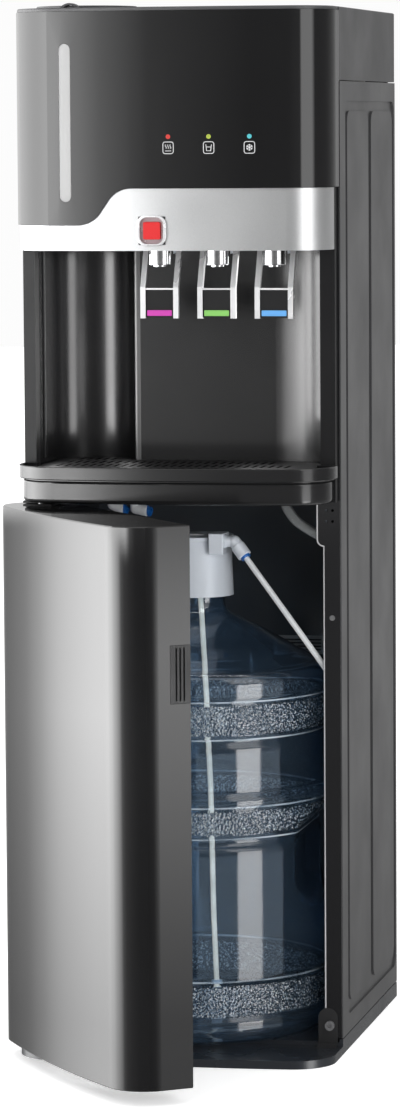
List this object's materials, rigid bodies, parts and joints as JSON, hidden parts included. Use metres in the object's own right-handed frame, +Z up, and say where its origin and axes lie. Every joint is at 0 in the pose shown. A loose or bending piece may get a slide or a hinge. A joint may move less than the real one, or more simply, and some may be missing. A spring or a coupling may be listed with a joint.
{
  "type": "bottom load water cooler",
  "caption": "Floor-standing water cooler with the bottle behind a hinged lower door, a dispensing niche with lever taps, a drip tray and a cup tube.",
  "frame": {"origin": "on the floor, at the centre of the base's footprint", "axes": "+Z up, the front with the taps and the door faces -Y, +X to the right as seen from the front"},
  "size_m": [0.3209, 0.5722, 1.0124],
  "materials": {
    "base_pan": "satin moulding",
    "side_panel_left": "gloss black enamel",
    "side_panel_right": "gloss black enamel",
    "back_panel": "satin black enamel",
    "top_cover": "satin black moulding",
    "front_frame": "gloss black",
    "niche_liner": "gloss black",
    "mid_shelf": "galvanised sheet",
    "upper_front_panel": "piano black",
    "control_band": "silver paint",
    "button_bezel": "silver",
    "return_springs": "bright",
    "led_lenses": "clear lens",
    "cup_window": "smoked",
    "cup_tube": "grey",
    "compartment_liner": "black",
    "vent_grille": "black",
    "corner_bracket": "black enamel",
    "cabinet_screws": "bright",
    "hinge_brackets": "black enamel",
    "hinge_pins": "bright",
    "tap_bodies": "black",
    "tap_nozzles": "polished",
    "lever_pins": "bright",
    "water_bottle": "blue tinted clear plastic, pebbled bands",
    "probe_cap": "white",
    "probe_elbow": "white",
    "tube_fittings": "white bodies, blue collets",
    "supply_tube": "white flexible tube",
    "dip_tube": "white flexible tube",
    "dip_foot": "white",
    "silicone_hose": "clear silicone",
    "cold_tank": "drawn",
    "cold_insulation": "foam",
    "evaporator_coil": "copper winding",
    "hot_tank": "drawn",
    "pump": "black",
    "compressor": "black enamel",
    "condenser": "black enamel",
    "control_board": "green laminate",
    "rear_power_module": "black",
    "door_shell": "piano black",
    "door_inner_panel": "satin black",
    "door_grip": "black",
    "catch_magnet": "dark",
    "lever_frame_hot": "polished",
    "lever_frame_room": "polished",
    "lever_frame_cold": "polished",
    "lever_paddle_hot": "black",
    "lever_paddle_room": "black",
    "lever_paddle_cold": "black",
    "lever_strip_hot": "violet",
    "lever_strip_room": "green",
    "lever_strip_cold": "blue",
    "safety_button": "red",
    "cup_lid": "black",
    "drip_tray": "black",
    "drip_grille": "black",
    "rocker_hot": "red",
    "rocker_cold": "green"
  },
  "bodies": {
    "root": {"base_pan": "base_pan", "side_panel_left": "side_panel_left", "side_panel_right": "side_panel_right", "back_panel": "back_panel", "top_cover": "top_cover", "front_frame": "front_frame", "niche_liner": "niche_liner", "mid_shelf": "mid_shelf", "upper_front_panel": "upper_front_panel", "control_band": "control_band", "button_bezel": "button_bezel", "return_springs": "return_springs", "led_lenses": "led_lenses", "cup_window": "cup_window", "cup_tube": "cup_tube", "compartment_liner": "compartment_liner", "vent_grille": "vent_grille", "corner_bracket": "corner_bracket", "cabinet_screws": "cabinet_screws", "hinge_brackets": "hinge_brackets", "hinge_pins": "hinge_pins", "tap_bodies": "tap_bodies", "tap_nozzles": "tap_nozzles", "lever_pins": "lever_pins", "water_bottle": "water_bottle", "probe_cap": "probe_cap", "probe_elbow": "probe_elbow", "tube_fittings": "tube_fittings", "supply_tube": "supply_tube", "dip_tube": "dip_tube", "dip_foot": "dip_foot", "silicone_hose": "silicone_hose", "cold_tank": "cold_tank", "cold_insulation": "cold_insulation", "evaporator_coil": "evaporator_coil", "hot_tank": "hot_tank", "pump": "pump", "compressor": "compressor", "condenser": "condenser", "control_board": "control_board", "rear_power_module": "rear_power_module"},
    "door": {"door_shell": "door_shell", "door_inner_panel": "door_inner_panel", "door_grip": "door_grip", "catch_magnet": "catch_magnet"},
    "lever_hot": {"lever_frame_hot": "lever_frame_hot", "lever_paddle_hot": "lever_paddle_hot", "lever_strip_hot": "lever_strip_hot"},
    "lever_room": {"lever_frame_room": "lever_frame_room", "lever_paddle_room": "lever_paddle_room", "lever_strip_room": "lever_strip_room"},
    "lever_cold": {"lever_frame_cold": "lever_frame_cold", "lever_paddle_cold": "lever_paddle_cold", "lever_strip_cold": "lever_strip_cold"},
    "button": {"safety_button": "safety_button"},
    "lid": {"cup_lid": "cup_lid"},
    "tray": {"drip_tray": "drip_tray"},
    "grille": {"drip_grille": "drip_grille"},
    "rocker_hot": {"rocker_hot": "rocker_hot"},
    "rocker_cold": {"rocker_cold": "rocker_cold"}
  },
  "joints": [
    {"name": "door_hinge", "type": "hinge", "parent": "root", "child": "door", "pos_m": [-0.134, -0.1375, 0.27], "axis": [0, 0, 1], "range_deg": [-57, 53]},
    {"name": "lever_hot_hinge", "type": "hinge", "parent": "root", "child": "lever_hot", "pos_m": [-0.0207, -0.0955, 0.785], "axis": [1, 0, 0], "range_deg": [0, 20], "stiffness_Nm_per_rad": 0.5, "springref_deg": -8.59, "deforming": ["return_springs"]},
    {"name": "lever_room_hinge", "type": "hinge", "parent": "root", "child": "lever_room", "pos_m": [0.0353, -0.0955, 0.785], "axis": [1, 0, 0], "range_deg": [0, 20], "stiffness_Nm_per_rad": 0.5, "springref_deg": -8.59, "deforming": ["return_springs"]},
    {"name": "lever_cold_hinge", "type": "hinge", "parent": "root", "child": "lever_cold", "pos_m": [0.0913, -0.0955, 0.785], "axis": [1, 0, 0], "range_deg": [0, 20], "stiffness_Nm_per_rad": 0.5, "springref_deg": -8.59, "deforming": ["return_springs"]},
    {"name": "button_slide", "type": "slide", "parent": "root", "child": "button", "axis": [0, 1, 0], "range_m": [0, 0.003], "stiffness_N_per_m": 600, "springref_m": -0.002, "deforming": ["return_springs"]},
    {"name": "lid_lift", "type": "slide", "parent": "root", "child": "lid", "axis": [0, 0, 1], "range_m": [0, 0.04]},
    {"name": "tray_slide", "type": "slide", "parent": "root", "child": "tray", "axis": [0, -1, 0], "range_m": [0, 0.09]},
    {"name": "grille_lift", "type": "slide", "parent": "tray", "child": "grille", "axis": [0, 0, 1], "range_m": [0, 0.02]},
    {"name": "rocker_hot_hinge", "type": "hinge", "parent": "root", "child": "rocker_hot", "pos_m": [-0.115, 0.1705, 0.132], "axis": [1, 0, 0], "range_deg": [0, 14]},
    {"name": "rocker_cold_hinge", "type": "hinge", "parent": "root", "child": "rocker_cold", "pos_m": [-0.115, 0.1705, 0.104], "axis": [1, 0, 0], "range_deg": [0, 14]}
  ]
}
